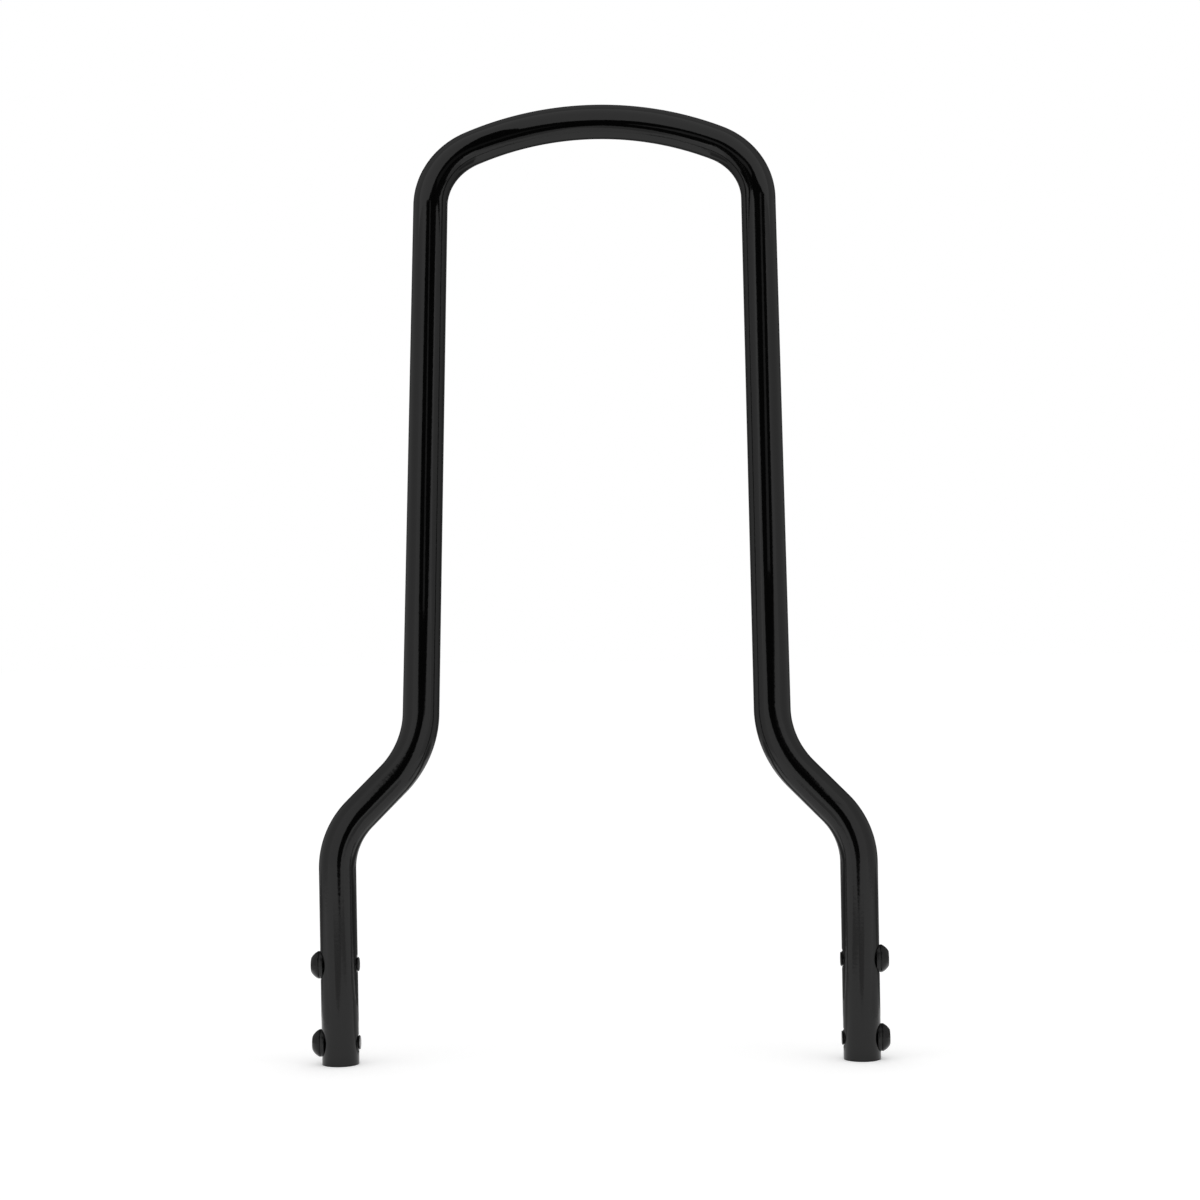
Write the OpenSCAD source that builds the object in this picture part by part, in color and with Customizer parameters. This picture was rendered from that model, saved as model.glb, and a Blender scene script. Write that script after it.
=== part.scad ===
// Motorcycle sissy bar: one upright bent from solid round bar, with its four mounting screws.
// Millimetres. +X is the right-hand side seen from the front, +Y the rear, +Z up the legs.
// The origin is midway between the legs, in the middle of the four screw holes.

/* [Bar] */
// Diameter of the round bar
bar_d = 19.05; // [16:0.05:24]
// Distance between the centres of the legs
leg_spacing = 266; // [240:1:300]
// Distance between the centres of the uprights
upright_spacing = 182; // [150:1:210]
// Height from the end of a leg to the corner of its bend
leg_len = 116; // [90:1:160]
// Climb of the dog-leg up the leaning plane, from corner to corner
dogleg_rise = 44.5; // [36:0.5:70]
// Length up the leaning plane, from the legs' corners to the middle of the crown
hoop_len = 407; // [300:1:500]
// Angle that the hoop leans back from the legs
lean = 18; // [5:1:30]

/* [Bends, radius to the middle of the bar] */
// Long curve across the top
crown_r = 166; // [130:1:300]
// Corners between the crown and the uprights
corner_r = 38; // [28:1:50]
// Bends from the uprights into the dog-legs
shoulder_r = 51; // [30:1:60]
// Bends from the dog-legs into the legs
hip_r = 38; // [28:1:50]
// How much the tight bends draw the bar's radius down
bend_draw = 0.02; // [0.02:0.01:0.1]

/* [Legs] */
// Chamfer around the sawn end of a leg
end_chamfer = 1; // [0.3:0.1:2]
// Distance between the two screws of a leg
screw_pitch = 40; // [30:1:60]
// Distance from the end of a leg to its lower screw
screw_edge = 10.8; // [9.5:0.1:20]
// Depth of the flat seat that is cut into the round bar
seat_depth = 1.8; // [1:0.1:3]
// Gap between a washer and the wall of its seat
seat_gap = 0.5; // [0.2:0.1:1.2]
// Chamfer at the inner mouth of a screw hole
mouth_chamfer = 1.2; // [0.3:0.1:1.8]

/* [Screws] */
// Diameter of the screw's thread
thread_d = 8; // [6:0.5:9]
// Clearance around the thread in its tapped hole
thread_clear = 0.05; // [0.02:0.01:0.1]
// Length of the screw under its head
screw_len = 20; // [17:1:30]
// Chamfer at the tip of the screw
tip_chamfer = 0.7; // [0.3:0.1:1.2]
// Diameter of the button head
head_d = 14; // [12:0.1:16]
// Height of the button head
head_h = 4.4; // [3.6:0.1:6]
// Height of the straight rim below the dome
rim_h = 0.9; // [0.4:0.1:1.5]
// Diameter of the flat on top of the dome
flat_d = 7.6; // [7:0.1:9]
// Width across the flats of the hexagon socket
socket_af = 5; // [4:0.1:5.6]
// Depth of the hexagon socket
socket_depth = 2.6; // [1.5:0.1:2.8]
// Chamfer around the mouth of the socket
socket_chamfer = 0.3; // [0.1:0.1:0.5]

/* [Lock washers] */
// Outer diameter of the washer
washer_d = 14; // [12.5:0.1:15.5]
// Thickness of the washer
washer_h = 2; // [1:0.1:3]
// Clearance between the screw's thread and the washer
washer_clear = 0.1; // [0.05:0.05:0.4]
// Width of the slit through the spring washer
slit_w = 0.9; // [0.4:0.1:2]
// Angle that the slit is cut at across the washer's thickness
slit_slant = 20; // [0:1:30]

/* [Hidden] */
$fn = 96;

bar_r = bar_d / 2;
leg_x = leg_spacing / 2;
upright_x = upright_spacing / 2;
leg_end_z = -screw_pitch / 2 - screw_edge;

// Each straight reaches this far into the bends at its ends, so that the lengths join as one
lap = 0.5;

// The crown's circle touches the corner circles from inside
crown_turn = asin((upright_x - corner_r) / (crown_r - corner_r));
corner_turn = 90 - crown_turn;
corner_up = hoop_len - crown_r + (crown_r - corner_r) * cos(crown_turn);

// The dog-leg lies in the leaning plane, and the leg hangs straight down from it
dogleg_out = leg_x - upright_x;
dogleg_len = norm([dogleg_out, dogleg_rise]);
shoulder_turn = atan2(dogleg_out, dogleg_rise);
hip_turn = acos(cos(shoulder_turn) * cos(lean));
hip_clock = atan2(-sin(lean), -sin(shoulder_turn) * cos(lean));

// Each bend takes up this much of the straights on either side of its corner
shoulder_reach = shoulder_r * tan(shoulder_turn / 2);
hip_reach = hip_r * tan(hip_turn / 2);

upright_straight = corner_up - dogleg_rise - shoulder_reach;
dogleg_straight = dogleg_len - shoulder_reach - hip_reach;
leg_straight = leg_len - hip_reach;

seat_out = bar_r - seat_depth;
seat_d = washer_d + 2 * seat_gap;
head_out = seat_out + washer_h;
hole_r = thread_d / 2 + thread_clear;

left = -1;
right = 1;
upper = 1;
lower = -1;
coat = [0.07, 0.07, 0.068];

// A straight length of the bar, and what follows it
module straight(length) {
    translate([0, 0, -lap])
        cylinder(h = length + 2 * lap, r = bar_r);
    translate([0, 0, length])
        children();
}

// Moves what follows to the end of a bend from +Z towards +X
module past_bend(angle, radius) {
    translate([radius, 0, 0])
        rotate([0, angle, 0])
            translate([-radius, 0, 0])
                children();
}

// A tight bend, where the bar is drawn a little thinner, and what follows it
module bend(angle, radius) {
    translate([radius, 0, 0])
        rotate([90, 0, 180])
            rotate_extrude(angle = angle)
                translate([radius, 0])
                    circle(r = bar_r - bend_draw);
    past_bend(angle, radius)
        children();
}

// The bar turned about its own axis before its next bend
module roll(angle) {
    rotate([0, 0, angle])
        children();
}

// The last straight length, with its sawn end chamfered
module leg() {
    rotate_extrude()
        polygon([
            [0, -lap],
            [bar_r, -lap],
            [bar_r, leg_straight - end_chamfer],
            [bar_r - end_chamfer, leg_straight],
            [0, leg_straight]
        ]);
}

// The long curve across the top, rolled at the bar's full diameter
module crown() {
    reach = crown_turn + lap / crown_r * 180 / PI;
    translate([0, 0, hoop_len - crown_r])
        rotate([90, 0, 0])
            rotate([0, 0, 90 - reach])
                rotate_extrude(angle = 2 * reach)
                    translate([crown_r, 0])
                        circle(r = bar_r);
}

// Right-hand side, from the end of the crown down to the end of the leg
module side_run() {
    translate([0, 0, hoop_len])
        rotate([0, 90, 0])
            past_bend(crown_turn, crown_r)
                bend(corner_turn, corner_r)
                    straight(upright_straight)
                        roll(180)
                            bend(shoulder_turn, shoulder_r)
                                straight(dogleg_straight)
                                    roll(hip_clock)
                                        bend(hip_turn, hip_r)
                                            leg();
}

// The whole bar before it is drilled, leaning back from the corners of its legs
module bent_bar() {
    translate([0, 0, leg_end_z + leg_len])
        rotate([-lean, 0, 0]) {
            crown();
            side_run();
            mirror([1, 0, 0])
                side_run();
        }
}

// Places a screw's shape on its leg, with +Z pointing out of the seat
module at_screw(side, level) {
    translate([side * leg_x, 0, level * screw_pitch / 2])
        rotate([0, side * 90, 0])
            children();
}

// Flat seat, tapped hole and the chamfer at the hole's inner mouth
module screw_cut() {
    over = 1;
    translate([0, 0, seat_out])
        cylinder(h = seat_depth + over, d = seat_d);
    translate([0, 0, -bar_r - over])
        cylinder(h = bar_d + 2 * over, r = hole_r);
    translate([0, 0, -bar_r - over])
        cylinder(h = mouth_chamfer + over, r1 = hole_r + mouth_chamfer + over, r2 = hole_r);
}

module bar() {
    color(coat)
        difference() {
            bent_bar();
            for (side = [left, right], level = [lower, upper])
                at_screw(side, level)
                    screw_cut();
        }
}

// Domed head: a cylinder cut by the ball that passes through the rim and the flat on top
module button_head() {
    rim_r = head_d / 2;
    flat_r = flat_d / 2;
    dome_h = head_h - rim_h;
    dome_z = rim_h + (dome_h * dome_h + flat_r * flat_r - rim_r * rim_r) / (2 * dome_h);
    dome_r = norm([rim_r, dome_z - rim_h]);
    intersection() {
        cylinder(h = head_h, r = rim_r);
        translate([0, 0, dome_z])
            sphere(r = dome_r);
    }
}

// Hexagon socket with a drill point below it and a chamfer around its mouth
module hex_socket() {
    over = 1;
    corner_d = socket_af / cos(30);
    point_h = socket_af / 2 * tan(30);
    translate([0, 0, head_h - socket_depth]) {
        cylinder(h = socket_depth + over, d = corner_d, $fn = 6);
        translate([0, 0, -point_h])
            cylinder(h = point_h, r1 = 0, r2 = socket_af / 2);
    }
    translate([0, 0, head_h - socket_chamfer])
        cylinder(h = socket_chamfer + over, d1 = corner_d, d2 = corner_d + 2 * (socket_chamfer + over));
}

module button_screw() {
    color(coat)
        difference() {
            union() {
                button_head();
                translate([0, 0, tip_chamfer - screw_len])
                    cylinder(h = screw_len - tip_chamfer, d = thread_d);
                translate([0, 0, -screw_len])
                    cylinder(h = tip_chamfer, d1 = thread_d - 2 * tip_chamfer, d2 = thread_d);
            }
            hex_socket();
        }
}

// Split spring washer, pressed flat, with its slit turned to the given angle
module lock_washer(slit_turn) {
    over = 1;
    color(coat)
        difference() {
            cylinder(h = washer_h, d = washer_d);
            translate([0, 0, -over])
                cylinder(h = washer_h + 2 * over, d = thread_d + 2 * washer_clear);
            rotate([0, 0, slit_turn])
                translate([washer_d / 2, 0, washer_h / 2])
                    rotate([slit_slant, 0, 0])
                        cube([washer_d, slit_w, 2 * washer_h + 2 * over], center = true);
        }
}

module screw(side, level) {
    at_screw(side, level)
        translate([0, 0, head_out])
            button_screw();
}

module washer(side, level, slit_turn) {
    at_screw(side, level)
        translate([0, 0, seat_out])
            lock_washer(slit_turn);
}

module screw_left_upper() {
    screw(left, upper);
}

module screw_left_lower() {
    screw(left, lower);
}

module screw_right_upper() {
    screw(right, upper);
}

module screw_right_lower() {
    screw(right, lower);
}

module lock_washer_left_upper() {
    washer(left, upper, 75);
}

module lock_washer_left_lower() {
    washer(left, lower, 130);
}

module lock_washer_right_upper() {
    washer(right, upper, 110);
}

module lock_washer_right_lower() {
    washer(right, lower, 50);
}

bar();
screw_left_upper();
screw_left_lower();
screw_right_upper();
screw_right_lower();
lock_washer_left_upper();
lock_washer_left_lower();
lock_washer_right_upper();
lock_washer_right_lower();
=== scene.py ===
import math

import bmesh
import bpy
import numpy as np
from mathutils import Matrix, Vector


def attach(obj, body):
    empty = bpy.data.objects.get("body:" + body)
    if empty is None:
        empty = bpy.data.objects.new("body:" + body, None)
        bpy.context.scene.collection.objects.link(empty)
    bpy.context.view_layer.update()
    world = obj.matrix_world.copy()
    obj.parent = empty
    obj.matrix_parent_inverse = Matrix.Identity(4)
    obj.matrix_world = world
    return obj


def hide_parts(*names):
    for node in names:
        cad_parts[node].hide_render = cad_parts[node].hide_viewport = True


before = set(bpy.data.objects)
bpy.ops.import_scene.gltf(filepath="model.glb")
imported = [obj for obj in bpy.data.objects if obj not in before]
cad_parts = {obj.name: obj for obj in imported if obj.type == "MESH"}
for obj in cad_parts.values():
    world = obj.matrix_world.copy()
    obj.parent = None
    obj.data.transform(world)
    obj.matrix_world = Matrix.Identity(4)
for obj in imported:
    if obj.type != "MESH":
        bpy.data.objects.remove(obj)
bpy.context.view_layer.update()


# Bent bar: one length of solid round steel, 19.05 mm across, bent cold into an open hoop.
# Its line is a row of corners, each rounded by the bender's die, swept with a round section.
# The legs are then spot-faced and drilled for the screws, and the whole is coated gloss black.

MM = 0.001
SIDES = {-1: "left", 1: "right"}

BAR_D = 19.05 * MM
LEG_X = 133 * MM
UPRIGHT_X = 91 * MM
SCREW_PITCH = 40 * MM
SCREW_EDGE = 10.8 * MM
LEG_LEN = 116 * MM
LEG_END_Z = -SCREW_PITCH / 2 - SCREW_EDGE
HIP_Z = LEG_END_Z + LEG_LEN
DOGLEG_RISE = 44.5 * MM
HOOP_LEN = 407 * MM
LEAN = math.radians(18)
CROWN_R = 166 * MM
CORNER_R = 38 * MM
SHOULDER_R = 51 * MM
HIP_R = 38 * MM
END_CHAMFER = 1 * MM
SEAT_DEPTH = 1.8 * MM
SEAT_OUT = BAR_D / 2 - SEAT_DEPTH
SEAT_D = 15 * MM
HOLE_D = 8.1 * MM
MOUTH_CHAMFER = 1.2 * MM
CUT_PAST = 1 * MM
CUTTER_SIDES = 64
BAR_SHARP_ANGLE = math.radians(30)

# Noise in a coat, in cells to the metre, and the range that most of its values lie in
DRIFT_SCALE = 45
PEEL_SCALE = 420
GRAIN_SCALE = 3200
NOISE_LOW = 0.3
NOISE_HIGH = 0.7


def new_tree(name, sizes):
    """A Geometry Nodes tree with a geometry input, an output and one named input for each size."""
    tree = bpy.data.node_groups.new(name, "GeometryNodeTree")
    tree.is_modifier = True
    tree.interface.new_socket("Geometry", in_out="INPUT", socket_type="NodeSocketGeometry")
    tree.interface.new_socket("Geometry", in_out="OUTPUT", socket_type="NodeSocketGeometry")
    for label, value in sizes.items():
        kind = "NodeSocketInt" if isinstance(value, int) else "NodeSocketFloat"
        tree.interface.new_socket(label, in_out="INPUT", socket_type=kind)
    return tree, tree.nodes.new("NodeGroupInput").outputs


def add(tree, kind, inputs, **settings):
    """Adds a node: a value that is a socket is linked to the input, and any other is set on it."""
    node = tree.nodes.new(kind)
    for key, value in settings.items():
        setattr(node, key, value)
    for key, value in inputs.items():
        if isinstance(value, bpy.types.NodeSocket):
            tree.links.new(value, node.inputs[key])
        else:
            node.inputs[key].default_value = value
    return node


def finish_tree(tree, geometry, material):
    """Ends a tree in Realize Instances, Set Material and the group's output."""
    real = add(tree, "GeometryNodeRealizeInstances", {"Geometry": geometry})
    coated = add(tree, "GeometryNodeSetMaterial", {"Geometry": real.outputs[0], "Material": material})
    add(tree, "NodeGroupOutput", {"Geometry": coated.outputs[0]})


def new_object(name, data):
    """A new object in the scene that holds this mesh, lamp or camera."""
    made = bpy.data.objects.new(name, data)
    bpy.context.scene.collection.objects.link(made)
    return made


def plain_mesh(thing):
    """A plain mesh of what the object's modifiers make."""
    graph = bpy.context.evaluated_depsgraph_get()
    return bpy.data.meshes.new_from_object(thing.evaluated_get(graph))


def grown(name, mesh, tree, sizes):
    """Runs the tree on a mesh and returns the result as an object with a plain mesh."""
    seed = new_object(name + "_seed", mesh)
    rule = seed.modifiers.new("rule", "NODES")
    rule.node_group = tree
    for item in tree.interface.items_tree:
        if item.in_out == "INPUT" and item.name in sizes:
            rule[item.identifier] = sizes[item.name]
    made = plain_mesh(seed)
    bpy.data.objects.remove(seed)
    return new_object(name, made)


def black_finish(name, grey, ior, roughness, spread, peel, grain):
    """A black coat: its roughness drifts by spread, over a skin that ripples by peel and is grained."""
    material = bpy.data.materials.new(name)
    material.use_nodes = True
    tree = material.node_tree
    shader = tree.nodes["Principled BSDF"]
    shader.inputs["Base Color"].default_value = (grey, grey, grey, 1)
    shader.inputs["IOR"].default_value = ior
    place = add(tree, "ShaderNodeTexCoord", {}).outputs["Object"]
    drift = add(tree, "ShaderNodeTexNoise", {"Vector": place, "Scale": DRIFT_SCALE, "Detail": 3})
    rough = add(tree, "ShaderNodeMapRange", {
        0: drift.outputs["Fac"], 1: NOISE_LOW, 2: NOISE_HIGH, 3: roughness - spread, 4: roughness + spread})
    tree.links.new(rough.outputs[0], shader.inputs["Roughness"])
    ripple = add(tree, "ShaderNodeTexNoise", {"Vector": place, "Scale": PEEL_SCALE, "Detail": 2})
    speck = add(tree, "ShaderNodeTexNoise", {"Vector": place, "Scale": GRAIN_SCALE, "Detail": 2})
    low = add(tree, "ShaderNodeBump", {"Height": ripple.outputs["Fac"], "Distance": peel})
    high = add(tree, "ShaderNodeBump", {
        "Height": speck.outputs["Fac"], "Distance": grain, "Normal": low.outputs[0]})
    tree.links.new(high.outputs[0], shader.inputs["Normal"])
    return material


def turned(outline, sides, radius_at=None):
    """A closed shape turned on the Z axis from (radius, height) points that run from pole to pole.
    radius_at(radius, height, angle) may change the radius, as a thread does."""
    shape = bmesh.new()
    rings = []
    for radius, height in outline:
        if radius == 0:
            rings.append([shape.verts.new((0, 0, height))] * sides)
            continue
        ring = []
        for i in range(sides):
            angle = 2 * math.pi * i / sides
            reach = radius_at(radius, height, angle) if radius_at else radius
            ring.append(shape.verts.new((reach * math.cos(angle), reach * math.sin(angle), height)))
        rings.append(ring)
    for below, above in zip(rings, rings[1:]):
        for i in range(sides):
            j = (i + 1) % sides
            corners = dict.fromkeys((below[i], below[j], above[j], above[i]))
            shape.faces.new(list(corners))
    bmesh.ops.recalc_face_normals(shape, faces=shape.faces)
    return shape


def joined(shapes):
    """One mesh from several bmesh shapes."""
    mesh = bpy.data.meshes.new("joined")
    whole = bmesh.new()
    for shape in shapes:
        shape.to_mesh(mesh)
        whole.from_mesh(mesh)
        shape.free()
    whole.to_mesh(mesh)
    whole.free()
    return mesh


def cut(mesh, cutter):
    """The mesh less the cutter's mesh."""
    body = new_object("body", mesh)
    tool = new_object("tool", cutter)
    boolean = body.modifiers.new("cut", "BOOLEAN")
    boolean.object = tool
    boolean.solver = "EXACT"
    result = plain_mesh(body)
    for holder in (body, tool):
        bpy.data.objects.remove(holder)
    return result


def at_screw(side, level):
    """Turns +Z out of a screw's seat and moves the origin to the middle of the leg."""
    place = Matrix.Translation((side * LEG_X, 0, level * SCREW_PITCH / 2))
    return place @ Matrix.Rotation(side * math.pi / 2, 4, "Y")


SCREW_PLACES = [(side, level) for side in SIDES for level in (-1, 1)]


def bar_corners():
    """Right-hand corners of the bar's line, from the crown's middle down, each with its die's radius."""
    crown_turn = math.asin((UPRIGHT_X - CORNER_R) / (CROWN_R - CORNER_R))
    crown_half = CROWN_R * math.tan(crown_turn / 2)
    corner_half = CORNER_R * math.tan((math.pi / 2 - crown_turn) / 2)
    reach = crown_half + corner_half
    crown_end = (crown_half + reach * math.cos(crown_turn), HOOP_LEN - reach * math.sin(crown_turn))
    flat = [
        (crown_half, HOOP_LEN, CROWN_R),
        (*crown_end, CORNER_R),
        (UPRIGHT_X, DOGLEG_RISE, SHOULDER_R),
        (LEG_X, 0, HIP_R),
    ]
    back, up = math.sin(LEAN), math.cos(LEAN)
    leaning = [((x, rise * back, HIP_Z + rise * up), radius) for x, rise, radius in flat]
    end = [((LEG_X, 0, LEG_END_Z + END_CHAMFER), 0), ((LEG_X, 0, LEG_END_Z), 0)]
    return leaning + end


def bar_line():
    """The bar's line as a mesh of edges, with the die's radius and the section's scale at each point."""
    right = bar_corners()
    left = [((-x, y, z), radius) for (x, y, z), radius in reversed(right)]
    corners = left + right
    mesh = bpy.data.meshes.new("bar_line")
    mesh.from_pydata([place for place, _ in corners], [(i, i + 1) for i in range(len(corners) - 1)], [])
    bend = mesh.attributes.new("bend_radius", "FLOAT", "POINT")
    bend.data.foreach_set("value", [radius for _, radius in corners])
    scale = mesh.attributes.new("section_scale", "FLOAT", "POINT")
    sawn = 1 - END_CHAMFER / (BAR_D / 2)
    scale.data.foreach_set("value", [sawn] + [1] * (len(corners) - 2) + [sawn])
    return mesh


def bar_tree(sizes, material):
    """Rounds the corners, puts a ring every few millimetres and sweeps a round section along."""
    tree, given = new_tree("bent_bar_rule", sizes)
    line = add(tree, "GeometryNodeMeshToCurve", {"Mesh": given["Geometry"]})
    bend = add(tree, "GeometryNodeInputNamedAttribute", {"Name": "bend_radius"}, data_type="FLOAT")
    bent = add(tree, "GeometryNodeFilletCurve", {
        "Curve": line.outputs[0], "Count": given["Rings in a bend"], "Radius": bend.outputs[0]}, mode="POLY")
    here = add(tree, "GeometryNodeInputPosition", {})
    after = add(tree, "GeometryNodeOffsetPointInCurve", {"Offset": 1})
    there = add(tree, "GeometryNodeFieldAtIndex", {
        "Index": after.outputs["Point Index"], "Value": here.outputs[0]}, data_type="FLOAT_VECTOR")
    gap = add(tree, "ShaderNodeVectorMath", {0: here.outputs[0], 1: there.outputs[0]}, operation="DISTANCE")
    rings = add(tree, "ShaderNodeMath", {
        0: gap.outputs["Value"], 1: given["Ring spacing"]}, operation="DIVIDE")
    ringed = add(tree, "GeometryNodeSubdivideCurve", {"Curve": bent.outputs[0], "Cuts": rings.outputs[0]})
    scale = add(tree, "GeometryNodeInputNamedAttribute", {"Name": "section_scale"}, data_type="FLOAT")
    scaled = add(tree, "GeometryNodeSetCurveRadius", {
        "Curve": ringed.outputs[0], "Radius": scale.outputs[0]})
    radius = add(tree, "ShaderNodeMath", {0: given["Bar diameter"], 1: 2}, operation="DIVIDE")
    section = add(tree, "GeometryNodeCurvePrimitiveCircle", {
        "Resolution": given["Sides"], "Radius": radius.outputs[0]})
    swept = add(tree, "GeometryNodeCurveToMesh", {
        "Curve": scaled.outputs[0], "Profile Curve": section.outputs[0], "Fill Caps": True})
    finish_tree(tree, swept.outputs[0], material)
    return tree


def screw_cutters():
    """A cutter at each screw: a spot face on the outer side, a through hole and its chamfered mouth."""
    hole_r = HOLE_D / 2
    seat_r = SEAT_D / 2
    foot = -BAR_D / 2 - CUT_PAST
    top = BAR_D / 2 + CUT_PAST
    flare = MOUTH_CHAMFER + CUT_PAST
    outline = [
        (0, foot), (hole_r + flare, foot), (hole_r, foot + flare),
        (hole_r, SEAT_OUT), (seat_r, SEAT_OUT), (seat_r, top), (0, top)]
    cutters = [turned(outline, CUTTER_SIDES) for _ in SCREW_PLACES]
    for cutter, place in zip(cutters, SCREW_PLACES):
        bmesh.ops.transform(cutter, matrix=at_screw(*place), verts=cutter.verts)
    return joined(cutters)


gloss_black = black_finish(
    "gloss_black_coat", grey=0.0015, ior=1.4, roughness=0.11, spread=0.02, peel=0.03 * MM, grain=0.0004 * MM)
bar_sizes = {"Bar diameter": BAR_D, "Ring spacing": 3 * MM, "Rings in a bend": 28, "Sides": 72}
bar = grown("bent_bar", bar_line(), bar_tree(bar_sizes, gloss_black), bar_sizes)
bar.data = cut(bar.data, screw_cutters())
bar.data.shade_smooth()
bar.data.set_sharp_from_angle(angle=BAR_SHARP_ANGLE)
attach(bar, "root")
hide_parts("bar")


# Lock washers: four split rings of flat spring wire, black, one under each screw's head.
# A washer lies flat in its spot face, pressed shut by the screw, and its slit is cut aslant.

WASHER_D = 14 * MM
WASHER_BORE = 8.2 * MM
WASHER_H = 2 * MM
WASHER_MID_R = (WASHER_D + WASHER_BORE) / 4
WIRE_EDGE_R = 0.25 * MM
SLIT_W = 0.9 * MM
SLIT_SLANT = math.radians(20)
SLIT_TURNS = [math.radians(turn) for turn in (130, 75, 50, 110)]
WASHER_SHARP_ANGLE = math.radians(40)


def washer_places():
    """A point at each screw, with the side that it faces and the turn of its slit."""
    mesh = bpy.data.meshes.new("washer_places")
    mesh.from_pydata([at_screw(*place).translation for place in SCREW_PLACES], [], [])
    side = mesh.attributes.new("side", "FLOAT", "POINT")
    side.data.foreach_set("value", [float(side) for side, _ in SCREW_PLACES])
    turn = mesh.attributes.new("slit_turn", "FLOAT", "POINT")
    turn.data.foreach_set("value", SLIT_TURNS)
    return mesh


def facing_out(tree, side, turn):
    """A rotation that points +Z outwards on the given side, after a turn about its own axis."""
    quarter = add(tree, "ShaderNodeMath", {0: side, 1: math.pi / 2}, operation="MULTIPLY")
    outward = add(tree, "ShaderNodeCombineXYZ", {1: quarter.outputs[0]})
    facing = add(tree, "FunctionNodeEulerToRotation", {0: outward.outputs[0]})
    clocked = add(tree, "ShaderNodeCombineXYZ", {2: turn})
    clock = add(tree, "FunctionNodeEulerToRotation", {0: clocked.outputs[0]})
    placed = add(tree, "FunctionNodeRotateRotation", {
        0: facing.outputs[0], 1: clock.outputs[0]}, rotation_space="LOCAL")
    return placed.outputs[0]


def washer_tree(sizes, material):
    """Sweeps a round-edged flat wire round an open ring, slants its ends and sets four in place."""
    tree, given = new_tree("lock_washer_rule", sizes)
    ring = add(tree, "GeometryNodeCurveArc", {
        "Resolution": given["Steps round"], "Radius": given["Middle radius"],
        "Sweep Angle": given["Sweep"]}, mode="RADIUS")
    blank = add(tree, "GeometryNodeCurvePrimitiveQuadrilateral", {
        "Width": given["Wire width"], "Height": given["Wire height"]}, mode="RECTANGLE")
    wire = add(tree, "GeometryNodeFilletCurve", {
        "Curve": blank.outputs[0], "Count": given["Steps in an edge"],
        "Radius": given["Edge radius"]}, mode="POLY")
    swept = add(tree, "GeometryNodeCurveToMesh", {
        "Curve": ring.outputs[0], "Profile Curve": wire.outputs[0], "Fill Caps": True})
    here = add(tree, "GeometryNodeInputPosition", {})
    height = add(tree, "ShaderNodeSeparateXYZ", {0: here.outputs[0]})
    aslant = add(tree, "ShaderNodeMath", {
        0: height.outputs[2], 1: given["Slant per metre"]}, operation="MULTIPLY")
    around = add(tree, "ShaderNodeVectorRotate", {
        "Vector": here.outputs[0], "Angle": aslant.outputs[0]}, rotation_type="Z_AXIS")
    slanted = add(tree, "GeometryNodeSetPosition", {
        "Geometry": swept.outputs[0], "Position": around.outputs[0]})
    lifted = add(tree, "ShaderNodeCombineXYZ", {2: given["Height of the middle"]})
    washer = add(tree, "GeometryNodeTransform", {
        "Geometry": slanted.outputs[0], "Translation": lifted.outputs[0]})
    side = add(tree, "GeometryNodeInputNamedAttribute", {"Name": "side"}, data_type="FLOAT")
    turn = add(tree, "GeometryNodeInputNamedAttribute", {"Name": "slit_turn"}, data_type="FLOAT")
    copies = add(tree, "GeometryNodeInstanceOnPoints", {
        "Points": given["Geometry"], "Instance": washer.outputs[0],
        "Rotation": facing_out(tree, side.outputs[0], turn.outputs[0])})
    finish_tree(tree, copies.outputs[0], material)
    return tree


satin_black = black_finish(
    "satin_black_steel", grey=0.004, ior=1.4, roughness=0.3, spread=0.06, peel=0.04 * MM, grain=0.004 * MM)
washer_sizes = {
    "Middle radius": WASHER_MID_R,
    "Sweep": 2 * math.pi - SLIT_W / WASHER_MID_R,
    "Wire width": (WASHER_D - WASHER_BORE) / 2,
    "Wire height": WASHER_H,
    "Edge radius": WIRE_EDGE_R,
    "Slant per metre": math.tan(SLIT_SLANT) / WASHER_MID_R,
    "Height of the middle": SEAT_OUT + WASHER_H / 2,
    "Steps round": 96,
    "Steps in an edge": 4,
}
washers = grown("lock_washers", washer_places(), washer_tree(washer_sizes, satin_black), washer_sizes)
washers.data.shade_smooth()
washers.data.set_sharp_from_angle(angle=WASHER_SHARP_ANGLE)
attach(washers, "root")
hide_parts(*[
    f"lock_washer_{side}_{level}" for side in ("left", "right") for level in ("upper", "lower")])


# Button screws: four M8 screws of forged steel, black, driven in from the outer sides with a 5 mm key.
# The heads are low domes with a hexagon socket, and the threaded tips just pass the legs' inner sides.

HEAD_D = 14 * MM
HEAD_H = 4.4 * MM
RIM_H = 0.9 * MM
RIM_EASE = 0.3 * MM
FLAT_D = 7.6 * MM
DOME_POINTS = 15
SCREW_LEN = 20 * MM
SCREW_SIDES = 72
THREAD_D = 8 * MM
THREAD_PITCH = 1.25 * MM
THREAD_DEPTH = 0.75 * MM
THREAD_CREST = 0.12
THREAD_ROWS = 12
THREADED = 9 * MM
TIP_CHAMFER = 0.7 * MM
SOCKET_AF = 5 * MM
SOCKET_DEPTH = 2.6 * MM
SOCKET_CHAMFER = 0.3 * MM
SOCKET_SIDES = 48
SCREW_SHARP_ANGLE = math.radians(32)


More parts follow.
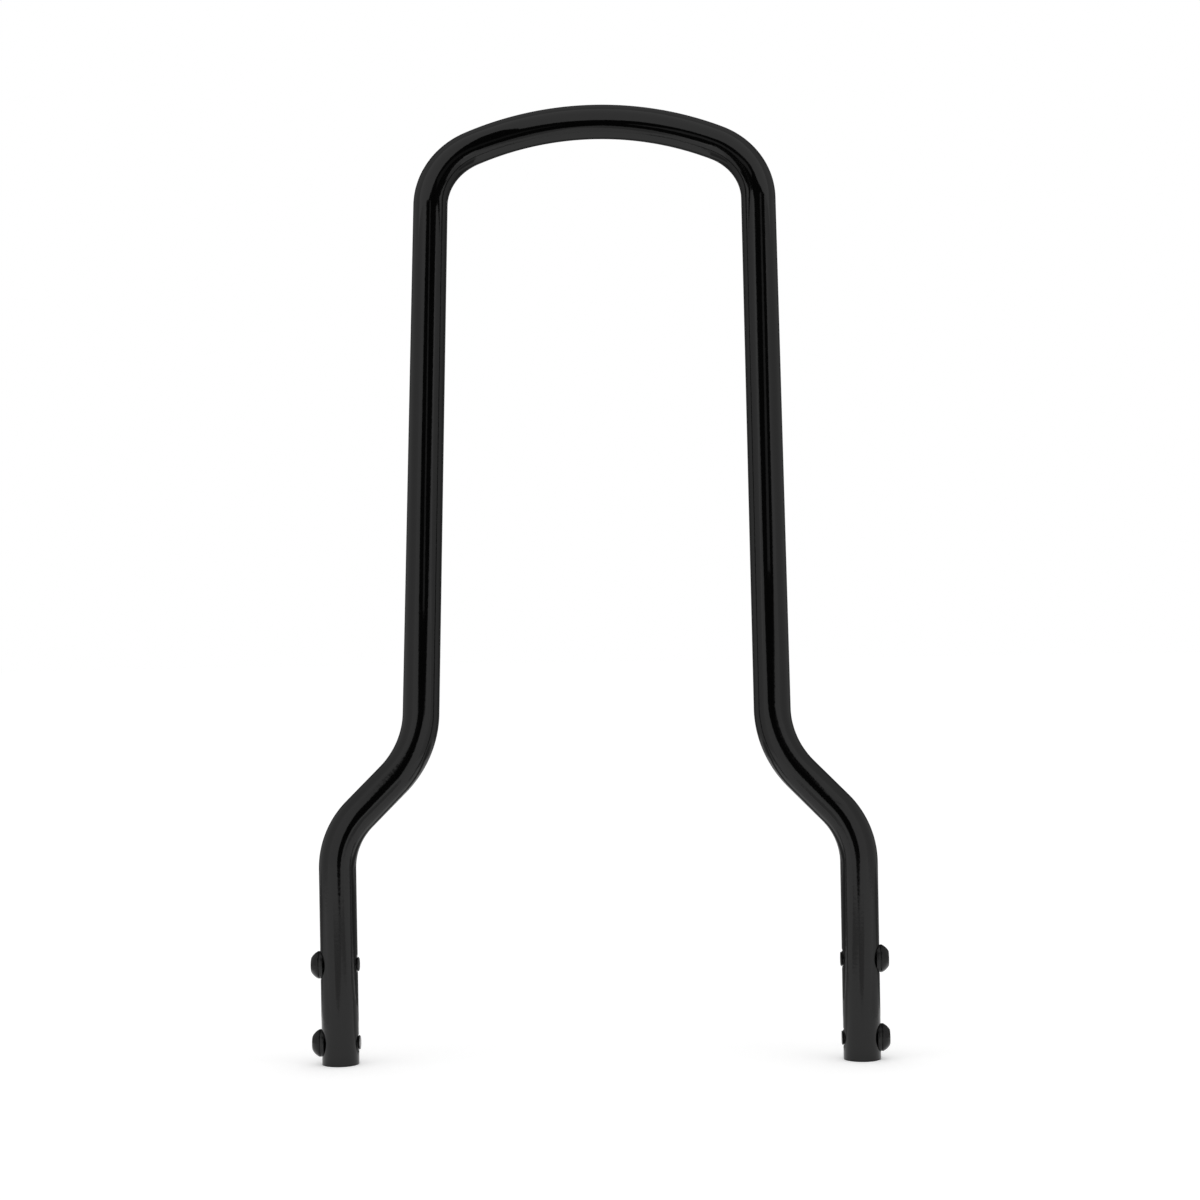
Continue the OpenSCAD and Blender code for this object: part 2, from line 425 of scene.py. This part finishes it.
def screw_outline():
    """(radius, height) of a screw from its tip to the flat on its dome, with the rim's edge eased."""
    thread_r = THREAD_D / 2
    rim_r = HEAD_D / 2
    flat_r = FLAT_D / 2
    tip = [(0, -SCREW_LEN), (thread_r - TIP_CHAMFER, -SCREW_LEN)]
    rows = int(THREADED / THREAD_PITCH * THREAD_ROWS)
    thread = [(thread_r, -SCREW_LEN + THREADED * i / rows) for i in range(1, rows + 1)]
    under = [(thread_r, 0), (rim_r - RIM_EASE, 0)]
    rim_angles = np.radians([30, 60, 90])
    rim = [(rim_r - RIM_EASE * (1 - math.sin(a)), RIM_EASE * (1 - math.cos(a))) for a in rim_angles]
    dome_h = HEAD_H - RIM_H
    dome_z = RIM_H + (dome_h**2 + flat_r**2 - rim_r**2) / (2 * dome_h)
    dome_r = math.hypot(rim_r, RIM_H - dome_z)
    start = math.atan2(RIM_H - dome_z, rim_r)
    stop = math.atan2(HEAD_H - dome_z, flat_r)
    dome_angles = np.linspace(start, stop, DOME_POINTS)
    dome = [(dome_r * math.cos(a), dome_z + dome_r * math.sin(a)) for a in dome_angles]
    return tip + thread + under + rim + dome + [(0, HEAD_H)]


def thread_radius(radius, height, angle):
    """Cuts a V groove that climbs one pitch a turn and runs out at its end, and chamfers the tip."""
    thread_end = -SCREW_LEN + THREADED
    if height > thread_end or height <= -SCREW_LEN:
        return radius
    phase = (height / THREAD_PITCH - angle / (2 * math.pi)) % 1
    groove = min(1, max(0, (abs(2 * phase - 1) - THREAD_CREST) / (1 - 2 * THREAD_CREST)))
    run_out = min(1, (thread_end - height) / THREAD_PITCH)
    chamfered = THREAD_D / 2 - TIP_CHAMFER + (height + SCREW_LEN)
    return min(radius - THREAD_DEPTH * groove * run_out, chamfered)


def socket_cutters():
    """A hexagon, the drill's point below it and a chamfer around its mouth."""
    flat_r = SOCKET_AF / 2
    corner_r = flat_r / math.cos(math.pi / 6)
    floor = HEAD_H - SOCKET_DEPTH
    point = floor - flat_r * math.tan(math.pi / 6)
    drill_top = floor + SOCKET_CHAMFER
    mouth = HEAD_H - SOCKET_CHAMFER
    top = HEAD_H + CUT_PAST
    mouth_r = corner_r + SOCKET_CHAMFER + CUT_PAST
    return [
        turned([(0, floor), (corner_r, floor), (corner_r, top), (0, top)], 6),
        turned([(0, point), (flat_r, floor), (flat_r, drill_top), (0, drill_top)], SOCKET_SIDES),
        turned([(0, mouth), (corner_r, mouth), (mouth_r, top), (0, top)], SOCKET_SIDES),
    ]


def one_screw():
    """A screw with its head's underside on the washer, and +Z out of the seat."""
    mesh = joined([turned(screw_outline(), SCREW_SIDES, thread_radius)])
    for cutter in socket_cutters():
        mesh = cut(mesh, joined([cutter]))
    mesh.transform(Matrix.Translation((0, 0, SEAT_OUT + WASHER_H)))
    mesh.shade_smooth()
    mesh.set_sharp_from_angle(angle=SCREW_SHARP_ANGLE)
    return mesh


def screw_tree(sizes, material):
    """Sets a screw at each corner of a rectangle, facing outwards, each with its own turn of the socket."""
    tree, given = new_tree("button_screw_rule", sizes)
    grid = add(tree, "GeometryNodeMeshGrid", {
        "Size X": given["Leg spacing"], "Size Y": given["Screw pitch"], "Vertices X": 2, "Vertices Y": 2})
    upright = add(tree, "GeometryNodeTransform", {
        "Geometry": grid.outputs[0], "Rotation": (math.pi / 2, 0, 0)})
    here = add(tree, "GeometryNodeInputPosition", {})
    across = add(tree, "ShaderNodeSeparateXYZ", {0: here.outputs[0]})
    side = add(tree, "ShaderNodeMath", {0: across.outputs[0]}, operation="SIGN")
    turn = add(tree, "FunctionNodeRandomValue", {
        2: 0.0, 3: given["Largest turn"], "Seed": given["Seed"]}, data_type="FLOAT")
    copies = add(tree, "GeometryNodeInstanceOnPoints", {
        "Points": upright.outputs[0], "Instance": given["Geometry"],
        "Rotation": facing_out(tree, side.outputs[0], turn.outputs[1])})
    finish_tree(tree, copies.outputs[0], material)
    return tree


screw_black = black_finish(
    "black_screw_coat", grey=0.002, ior=1.34, roughness=0.24, spread=0.05, peel=0.04 * MM, grain=0.003 * MM)
screw_sizes = {
    "Leg spacing": 2 * LEG_X,
    "Screw pitch": SCREW_PITCH,
    "Largest turn": math.pi / 3,
    "Seed": 3,
}
screws = grown("button_screws", one_screw(), screw_tree(screw_sizes, screw_black), screw_sizes)
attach(screws, "root")
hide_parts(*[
    f"screw_{side}_{level}" for side in ("left", "right") for level in ("upper", "lower")])


# Floor: a plain white table under the leg ends, which takes the object's soft shadow.
# What shows behind it is the white world.

FLOOR_HALF = 8
FLOOR_Z = LEG_END_Z - 0.05 * MM
TABLE_COLOUR = (0.9, 0.9, 0.9, 1)
TABLE_GLOW = 0.24


def bare_material(name):
    """A material with an empty node tree but for its output, and that tree."""
    material = bpy.data.materials.new(name)
    material.use_nodes = True
    tree = material.node_tree
    tree.nodes.remove(tree.nodes["Principled BSDF"])
    return material, tree


def show(tree, *shaders):
    """Puts one shader, or two added together, on the material's surface."""
    surface = shaders[0].outputs[0]
    if len(shaders) == 2:
        surface = add(tree, "ShaderNodeAddShader", {0: surface, 1: shaders[1].outputs[0]}).outputs[0]
    tree.links.new(surface, tree.nodes["Material Output"].inputs["Surface"])


def seen_ray(tree):
    """1 for rays from the camera, also through a reflection or a refraction, and 0 for light."""
    path = add(tree, "ShaderNodeLightPath", {})
    seen = path.outputs["Is Camera Ray"]
    for kind in ("Is Glossy Ray", "Is Transmission Ray"):
        seen = add(tree, "ShaderNodeMath", {0: seen, 1: path.outputs[kind]}, operation="MAXIMUM").outputs[0]
    return seen


def flat_sheet(name, corners, material):
    """A flat stage object from its corners, in order round it."""
    mesh = bpy.data.meshes.new(name)
    mesh.from_pydata(corners, [], [range(len(corners))])
    mesh.materials.append(material)
    sheet = new_object(name, mesh)
    return sheet


def level_corners(x_ends, y_ends, height):
    """The four corners of a level rectangle, from its two ends across and its two ends back."""
    (x1, x2), (y1, y2) = x_ends, y_ends
    return [(x1, y1, height), (x2, y1, height), (x2, y2, height), (x1, y2, height)]


table_white, table_tree = bare_material("table_white")
matt = add(table_tree, "ShaderNodeBsdfDiffuse", {"Color": TABLE_COLOUR})
lift = add(table_tree, "ShaderNodeMath", {0: seen_ray(table_tree), 1: TABLE_GLOW}, operation="MULTIPLY")
glow = add(table_tree, "ShaderNodeEmission", {"Strength": lift.outputs[0]})
show(table_tree, matt, glow)
flat_sheet("floor", level_corners((-FLOOR_HALF, FLOOR_HALF), (-FLOOR_HALF, FLOOR_HALF), FLOOR_Z), table_white)


# Light: a white room, two soft lamps, and the cards of a light tent, which only reflections show.
# The dark mouth round the camera and a black card at the crown draw the black line along the bar, grey
# walls keep its edges dark, and faint glows lie beside the line. All are set for this camera's one view.

ROOM_LEVEL = 0.85
SEEN_LEVEL = 1.0

world = bpy.data.worlds.new("white_room")
bpy.context.scene.world = world
world.use_nodes = True
room = world.node_tree.nodes["Background"]
room.inputs["Color"].default_value = (1, 1, 1, 1)
room_level = add(world.node_tree, "ShaderNodeMapRange", {
    0: seen_ray(world.node_tree), 3: ROOM_LEVEL, 4: SEEN_LEVEL})
world.node_tree.links.new(room_level.outputs[0], room.inputs["Strength"])


def plain_paint(name, grey):
    """A card of one even grey."""
    material, tree = bare_material(name)
    show(tree, add(tree, "ShaderNodeEmission", {"Strength": grey}))
    return material


def graded_paint(name, near_y, near_grey, far_y, far_grey):
    """A card's grey, which goes from one level to another as it runs back from the camera."""
    material, tree = bare_material(name)
    place = add(tree, "ShaderNodeTexCoord", {}).outputs["Object"]
    along = add(tree, "ShaderNodeSeparateXYZ", {0: place})
    grey = add(tree, "ShaderNodeMapRange", {
        0: along.outputs[1], 1: near_y, 2: far_y, 3: near_grey, 4: far_grey})
    show(tree, add(tree, "ShaderNodeEmission", {"Strength": grey.outputs[0]}))
    return material


def haze_paint(name, strength):
    """A clear card that adds a faint glow to what lies behind it."""
    material, tree = bare_material(name)
    clear = add(tree, "ShaderNodeBsdfTransparent", {})
    show(tree, clear, add(tree, "ShaderNodeEmission", {"Strength": strength}))
    return material


def card(name, corners, paint):
    """A stage card that only reflections show."""
    made = flat_sheet(name, corners, paint)
    made.visible_camera = False
    made.visible_diffuse = False
    made.visible_shadow = False


def front_card(name, y, outline, paint):
    """A card that stands across the view, from (across, up) points in metres."""
    card(name, [(x, y, z) for x, z in outline], paint)


def front_corners(half_width, low, high):
    """The four corners of an upright rectangle, for a card across the view."""
    return [(-half_width, low), (half_width, low), (half_width, high), (-half_width, high)]


card_black = plain_paint("card_black", 0)
card_white = plain_paint("card_white", 1)

MOUTH_Y = -0.55
MOUTH_MID_X = 0.035
MOUTH_FOOT = -0.02
MOUTH_TOP = 1.5
MOUTH_EDGES = {
    "left": [
        (-0.015, -0.015), (-0.065, 0), (-0.105, 0.04), (-0.125, 0.1), (-0.12, 0.36), (-0.16, 0.43),
        (-0.25, 0.535), (-0.33, 0.62), (-0.4, 0.75), (-0.42, 1), (-0.38, 1.2), (-0.38, MOUTH_TOP)],
    "right": [
        (0.085, -0.015), (0.135, 0), (0.175, 0.04), (0.195, 0.1), (0.185, 0.28), (0.145, 0.36),
        (0.145, 0.42), (0.19, 0.48), (0.31, 0.55), (0.39, 0.6), (0.53, 0.75), (0.6, 0.9),
        (0.75, 1.15), (0.84, 1.3), (0.84, MOUTH_TOP)],
}

for label, edge in MOUTH_EDGES.items():
    half = [(MOUTH_MID_X, MOUTH_FOOT), *edge, (MOUTH_MID_X, MOUTH_TOP)]
    front_card(f"tent_mouth_{label}", MOUTH_Y, half, card_black)

WALL_X = 0.85
WALL_BACK = 1.3
WALL_TOP = 1.4

wall_grey = graded_paint("wall_grey", near_y=-0.75, near_grey=1, far_y=1.1, far_grey=0.1)
for side, label in SIDES.items():
    card(f"tent_wall_{label}", [
        (side * WALL_X, MOUTH_Y, FLOOR_Z), (side * WALL_X, WALL_BACK, FLOOR_Z),
        (side * WALL_X, WALL_BACK, WALL_TOP), (side * WALL_X, MOUTH_Y, WALL_TOP)], wall_grey)
card("tent_roof", level_corners((-WALL_X, WALL_X), (MOUTH_Y, WALL_BACK), WALL_TOP), wall_grey)
front_card("tent_back", WALL_BACK, front_corners(WALL_X, FLOOR_Z, WALL_TOP), wall_grey)

# Grey cards on the table that only reflections show: painted shade keeping the legs' and corners' rims dark.
SHADE_GAP = 1 * MM
SHADE_Z = FLOOR_Z + SHADE_GAP
SIDE_SHADE_Z = SHADE_Z + SHADE_GAP
BACK_SHADE_Y = 0.1
SIDE_SHADE_X = 0.25
SIDE_SHADE_ENDS = (-0.1, 0.4)
# The wedge before the legs is painted shade, standing in for the table's faint sheen mirroring the dark
# mouth.
FRONT_SHADE = [
    (-0.36, -0.53), (-0.26, -0.36), (-0.19, -0.22), (-0.134, -0.18), (-0.1, -0.22), (-0.045, -0.285),
    (0.03, -0.4), (0.06, -0.285), (0.1, -0.22), (0.134, -0.19), (0.17, -0.22), (0.25, -0.36), (0.36, -0.53)]

table_shade = graded_paint("table_shade", near_y=BACK_SHADE_Y, near_grey=1, far_y=0.8, far_grey=0.12)
side_shade = graded_paint("side_shade", near_y=SIDE_SHADE_ENDS[0], near_grey=1, far_y=0.2, far_grey=0.3)
legs_shade = plain_paint("legs_shade", 0.66)
card("table_back", level_corners((-WALL_X, WALL_X), (BACK_SHADE_Y, WALL_BACK), SHADE_Z), table_shade)
for side, label in SIDES.items():
    shaded = level_corners((side * SIDE_SHADE_X, side * WALL_X), SIDE_SHADE_ENDS, SIDE_SHADE_Z)
    card(f"table_{label}", shaded, side_shade)
card("table_front", [(x, y, SHADE_Z) for x, y in FRONT_SHADE], legs_shade)

# Low grey cards behind the bar and between the legs, seen only in reflections: painted shade on the legs'
# rims.
BACK_SHADE_CARD_Y = 0.12
INNER_SHADE_CARD_Y = 0.02

back_card_shade = plain_paint("back_card_shade", 0.2)
inner_grey = plain_paint("inner_grey", 0.55)
front_card("back_shade_card", BACK_SHADE_CARD_Y, front_corners(0.45, FLOOR_Z, 0.04), back_card_shade)
front_card("inner_shade_card", INNER_SHADE_CARD_Y, front_corners(0.115, FLOOR_Z, -0.005), inner_grey)

# Cards at the crown, seen only in reflections: a painted black line along the crown and painted white light
# above it.
CROWN_CARD_Y = 0.09
CROWN_EDGE = [
    (-0.093, 0.438), (-0.087, 0.445), (-0.079, 0.456), (-0.071, 0.466), (-0.064, 0.481), (-0.052, 0.485),
    (-0.0405, 0.476), (-0.039, 0.472), (0.02, 0.473), (0.044, 0.47), (0.065, 0.465), (0.084, 0.458),
    (0.091, 0.447), (0.101, 0.44)]
CROWN_UNDER = [
    (0.082, 0.433), (0.075, 0.443), (0.06, 0.449), (0.048, 0.44), (0.034, 0.44), (0.018, 0.445),
    (0.002, 0.449), (-0.015, 0.446), (-0.032, 0.441), (-0.05, 0.441), (-0.06, 0.445), (-0.075, 0.436)]
CROWN_WHITE = [(-0.2, 0.438), *CROWN_EDGE, (0.2, 0.44), (0.2, 0.9), (-0.2, 0.9)]

front_card("crown_white", CROWN_CARD_Y, CROWN_WHITE, card_white)
front_card("crown_black", CROWN_CARD_Y, CROWN_EDGE + CROWN_UNDER, card_black)

# A white card seen only in reflections: painted light on the right dog-leg that ends the dark line there.
DOGLEG_CARD_Y = -0.1
DOGLEG_WHITE = [
    (0.129, 0.168), (0.2, 0.2), (0.3, 0.3), (0.3, 0.42), (0.2, 0.36), (0.16, 0.27), (0.143, 0.222)]

front_card("dogleg_white", DOGLEG_CARD_Y, DOGLEG_WHITE, card_white)

GLOW_Y = -0.07
GLOW_LEFT = [(-0.08, 0.27), (-0.056, 0.27), (-0.06, 0.62), (-0.084, 0.62)]
GLOW_RIGHT = [(0.075, 0.295), (0.113, 0.295), (0.166, 0.62), (0.126, 0.62)]
GLINT_Y = CROWN_CARD_Y + 2 * MM
GLINT_LEFT = [
    (-0.076, 0.4445), (-0.066, 0.4505), (-0.04, 0.456), (-0.016, 0.463),
    (-0.016, 0.464), (-0.04, 0.462), (-0.068, 0.4565), (-0.079, 0.4495)]
GLINT_RIGHT = [
    (0.015, 0.4605), (0.042, 0.456), (0.052, 0.4555), (0.064, 0.4515), (0.074, 0.4505), (0.079, 0.4465),
    (0.0815, 0.449), (0.077, 0.4545), (0.066, 0.4555), (0.055, 0.4605), (0.042, 0.4625), (0.015, 0.4615)]

faint = haze_paint("faint_glow", 0.12)
soft = haze_paint("soft_glow", 0.35)
front_card("glow_left", GLOW_Y, GLOW_LEFT, soft)
front_card("glow_right", GLOW_Y, GLOW_RIGHT, soft)
front_card("crown_glint_left", GLINT_Y, GLINT_LEFT, faint)
front_card("crown_glint_right", GLINT_Y, GLINT_RIGHT, soft)

LAMP_SIDE = 1.1
LAMP_WATTS = 2
LAMP_X = 1.2
LAMP_Y = -0.5
LAMP_Z = 1.5
LAMP_AIM = Vector((0, 0, 0.2))

for side, label in SIDES.items():
    lamp_data = bpy.data.lights.new(f"soft_lamp_{label}", "AREA")
    lamp_data.shape = "SQUARE"
    lamp_data.size = LAMP_SIDE
    lamp_data.energy = LAMP_WATTS
    lamp = new_object(f"soft_lamp_{label}", lamp_data)
    lamp.visible_glossy = False
    lamp.location = (side * LAMP_X, LAMP_Y, LAMP_Z)
    lamp.rotation_euler = (LAMP_AIM - lamp.location).to_track_quat("-Z", "Y").to_euler()


# Camera: level, a little to the right of the middle and turned back to the object, as in the photograph.
# It was fitted to the photograph together with the bar's sizes.

CAMERA_X = 51.6 * MM
CAMERA_Y = -1251 * MM
CAMERA_Z = 204.2 * MM
SENSOR_W = 36
LENS = 73.7
YAW = math.radians(-2.19)
ROLL = math.radians(-0.99)

camera_data = bpy.data.cameras.new("camera")
camera_data.sensor_width = SENSOR_W
camera_data.lens = LENS
camera = new_object("camera", camera_data)
forward = Vector((math.sin(YAW), math.cos(YAW), 0))
level_right = Vector((math.cos(YAW), -math.sin(YAW), 0))
right = level_right * math.cos(ROLL) + Vector((0, 0, 1)) * math.sin(ROLL)
up = right.cross(forward)
turned_to = Matrix((right, up, -forward)).transposed()
camera.matrix_world = Matrix.Translation((CAMERA_X, CAMERA_Y, CAMERA_Z)) @ turned_to.to_4x4()
bpy.context.scene.camera = camera
bpy.context.scene.view_settings.view_transform = "Standard"
